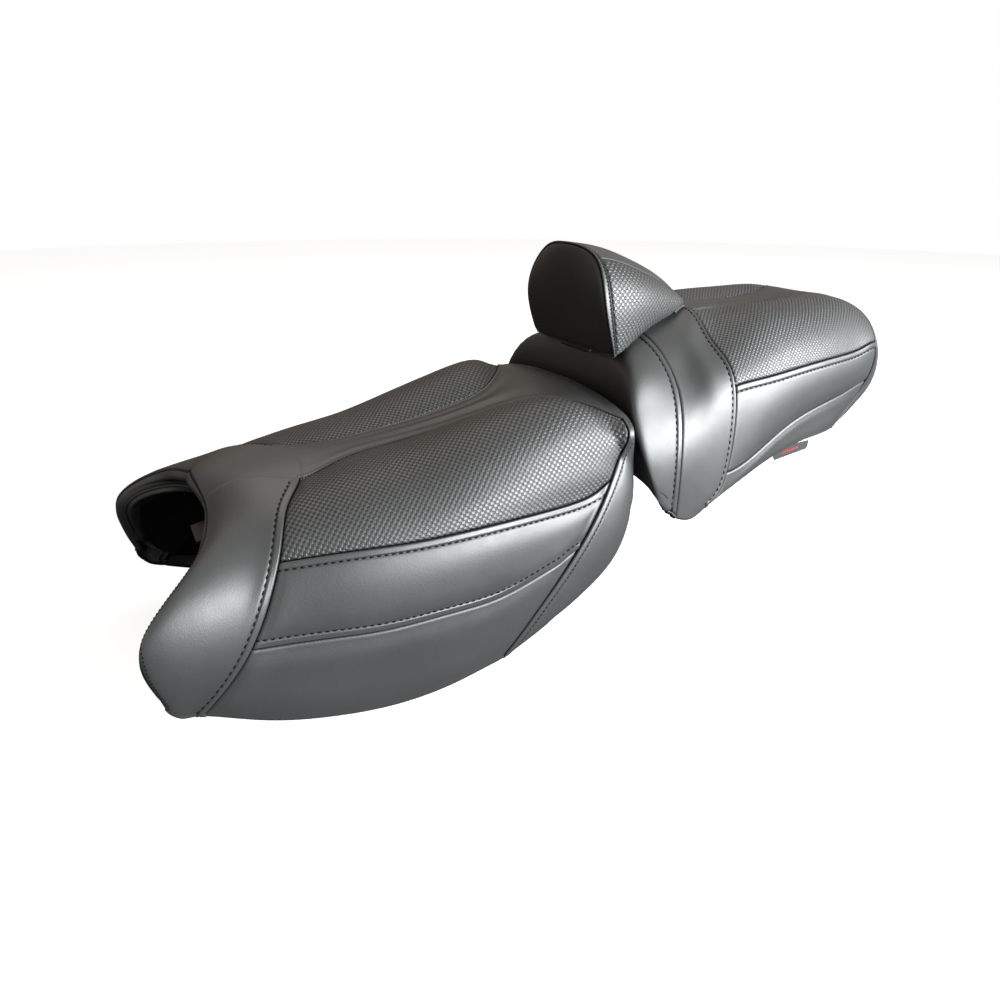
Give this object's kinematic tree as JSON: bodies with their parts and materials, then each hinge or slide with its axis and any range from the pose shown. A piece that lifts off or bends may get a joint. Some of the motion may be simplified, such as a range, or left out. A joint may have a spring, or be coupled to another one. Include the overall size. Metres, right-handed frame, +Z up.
{
  "type": "motorcycle seat",
  "caption": "Two-piece touring motorcycle seat with a saddle for the rider, a passenger cushion and a folding, height-adjusting rider backrest.",
  "frame": {"origin": "centre of the underside of the catch between the two seats, on the centre plane", "axes": "+X towards the rear of the motorcycle, +Y towards the rider's right, +Z up"},
  "size_m": [1.0138, 0.376, 0.4426],
  "materials": {
    "rider_cover_saddle": "black vinyl, satin, fine grain",
    "rider_cover_fascia": "black vinyl, satin, fine grain",
    "passenger_cover_front": "black vinyl, satin, fine grain",
    "passenger_cover_band": "black vinyl, satin, fine grain",
    "passenger_cover_centre": "black vinyl, satin, fine grain",
    "backrest_cover_top": "black vinyl, satin, fine grain",
    "backrest_cover_front": "black vinyl, satin, fine grain",
    "rider_cover_side_left": "black vinyl, satin, fine grain",
    "rider_cover_side_right": "black vinyl, satin, fine grain",
    "rider_cover_skirt_left": "black vinyl, satin, fine grain",
    "rider_cover_skirt_right": "black vinyl, satin, fine grain",
    "passenger_cover_side_left": "black vinyl, satin, fine grain",
    "passenger_cover_side_right": "black vinyl, satin, fine grain",
    "passenger_cover_skirt_left": "black vinyl, satin, fine grain",
    "passenger_cover_skirt_right": "black vinyl, satin, fine grain",
    "rider_cover_bolster_left": "black vinyl, embossed weave",
    "rider_cover_bolster_right": "black vinyl, embossed weave",
    "passenger_cover_bolster_left": "black vinyl, embossed weave",
    "passenger_cover_bolster_right": "black vinyl, embossed weave",
    "backrest_gusset_left": "black vinyl, embossed weave",
    "backrest_gusset_right": "black vinyl, embossed weave",
    "rider_foam": "moulded foam, matte",
    "passenger_foam": "moulded foam, matte",
    "backrest_foam": "moulded foam, matte",
    "rider_pan": "moulded, fine texture",
    "passenger_pan": "moulded, fine texture",
    "rider_bumper_1": "matte",
    "rider_bumper_2": "matte",
    "rider_bumper_3": "matte",
    "rider_bumper_4": "matte",
    "passenger_bumper_1": "matte",
    "passenger_bumper_2": "matte",
    "passenger_bumper_3": "matte",
    "passenger_bumper_4": "matte",
    "rider_front_tongue": "black powder coat",
    "rider_rear_catch": "black powder coat",
    "passenger_front_tongue": "black powder coat",
    "striker_plate": "black powder coat",
    "backrest_post": "black powder coat",
    "post_plate": "black powder coat",
    "hinge_leaf": "black powder coat",
    "tongue_mount": "moulded",
    "latch_guide": "moulded",
    "socket_bezel": "moulded",
    "post_socket": "moulded",
    "backrest_board": "moulded",
    "lock_striker": "zinc plated",
    "hinge_pin": "zinc plated",
    "latch_bolt": "zinc plated",
    "board_screw_1": "zinc plated",
    "board_screw_2": "zinc plated",
    "board_screw_3": "zinc plated",
    "board_screw_4": "zinc plated",
    "tab_rivet": "blackened",
    "pull_tab": "folded vinyl webbing",
    "side_label": "woven label"
  },
  "bodies": {
    "seats": {"rider_cover_saddle": "rider_cover_saddle", "rider_cover_fascia": "rider_cover_fascia", "passenger_cover_front": "passenger_cover_front", "passenger_cover_band": "passenger_cover_band", "passenger_cover_centre": "passenger_cover_centre", "rider_cover_side_left": "rider_cover_side_left", "rider_cover_side_right": "rider_cover_side_right", "rider_cover_skirt_left": "rider_cover_skirt_left", "rider_cover_skirt_right": "rider_cover_skirt_right", "passenger_cover_side_left": "passenger_cover_side_left", "passenger_cover_side_right": "passenger_cover_side_right", "passenger_cover_skirt_left": "passenger_cover_skirt_left", "passenger_cover_skirt_right": "passenger_cover_skirt_right", "rider_cover_bolster_left": "rider_cover_bolster_left", "rider_cover_bolster_right": "rider_cover_bolster_right", "passenger_cover_bolster_left": "passenger_cover_bolster_left", "passenger_cover_bolster_right": "passenger_cover_bolster_right", "rider_foam": "rider_foam", "passenger_foam": "passenger_foam", "rider_pan": "rider_pan", "passenger_pan": "passenger_pan", "rider_bumper_1": "rider_bumper_1", "rider_bumper_2": "rider_bumper_2", "rider_bumper_3": "rider_bumper_3", "rider_bumper_4": "rider_bumper_4", "passenger_bumper_1": "passenger_bumper_1", "passenger_bumper_2": "passenger_bumper_2", "passenger_bumper_3": "passenger_bumper_3", "passenger_bumper_4": "passenger_bumper_4", "rider_front_tongue": "rider_front_tongue", "rider_rear_catch": "rider_rear_catch", "passenger_front_tongue": "passenger_front_tongue", "striker_plate": "striker_plate", "tongue_mount": "tongue_mount", "socket_bezel": "socket_bezel", "post_socket": "post_socket", "lock_striker": "lock_striker", "side_label": "side_label"},
    "backrest_frame": {"backrest_post": "backrest_post", "post_plate": "post_plate"},
    "backrest_pad": {"backrest_board": "backrest_board", "backrest_foam": "backrest_foam", "backrest_cover_front": "backrest_cover_front", "backrest_cover_top": "backrest_cover_top", "backrest_gusset_left": "backrest_gusset_left", "backrest_gusset_right": "backrest_gusset_right", "hinge_leaf": "hinge_leaf", "hinge_pin": "hinge_pin", "latch_guide": "latch_guide", "board_screw_1": "board_screw_1", "board_screw_2": "board_screw_2", "board_screw_3": "board_screw_3", "board_screw_4": "board_screw_4"},
    "release_tab": {"latch_bolt": "latch_bolt", "pull_tab": "pull_tab", "tab_rivet": "tab_rivet"}
  },
  "joints": [
    {"name": "post_height", "type": "slide", "parent": "seats", "child": "backrest_frame", "axis": [0, 0, 1], "range_m": [0, 0.05]},
    {"name": "backrest_fold", "type": "hinge", "parent": "backrest_frame", "child": "backrest_pad", "pos_m": [0.061, 0, 0.18], "axis": [0, -1, 0], "range_deg": [0, 80]},
    {"name": "latch_release", "type": "slide", "parent": "backrest_pad", "child": "release_tab", "axis": [1, 0, 0], "range_m": [0, 0.009]}
  ]
}
